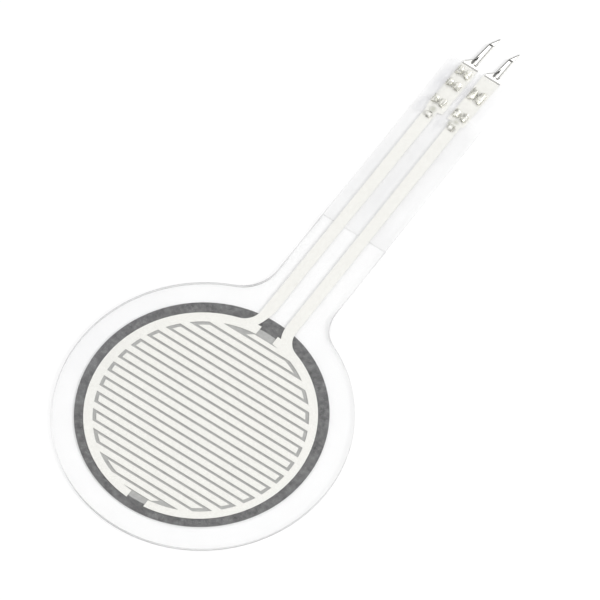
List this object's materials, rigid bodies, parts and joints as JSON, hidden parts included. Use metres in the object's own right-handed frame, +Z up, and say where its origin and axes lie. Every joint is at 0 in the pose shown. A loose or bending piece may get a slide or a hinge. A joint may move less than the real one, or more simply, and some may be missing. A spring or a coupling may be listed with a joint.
{
  "type": "force sensing resistor",
  "caption": "Round force sensing resistor: clear film disc with a printed silver comb over dark sensing ink, and a flat tail ending in crimped solder tabs.",
  "frame": {"origin": "middle of the disc on its back face, which lies on the table", "axes": "+X across the tail to its right, +Y along the tail towards the solder tabs, +Z up from the back face to the electrode side"},
  "size_m": [0.0254, 0.0565, 0.0006],
  "materials": {
    "clear_film": "clear polyester film",
    "silver_print": "screen-printed silver ink, satin",
    "adhesive": "clear transfer adhesive",
    "sensing_ink": "matt carbon-loaded ink",
    "matt_coat": "matt translucent insulating coat",
    "tinned_metal": "tin plated, bright"
  },
  "bodies": {
    "root": {"electrode_film": "clear_film", "left_electrode": "silver_print", "right_electrode": "silver_print", "spacer_adhesive": "adhesive", "sensing_ink": "sensing_ink", "sensing_film": "clear_film", "tail_coat": "matt_coat", "left_contact": "tinned_metal", "right_contact": "tinned_metal"}
  },
  "joints": []
}
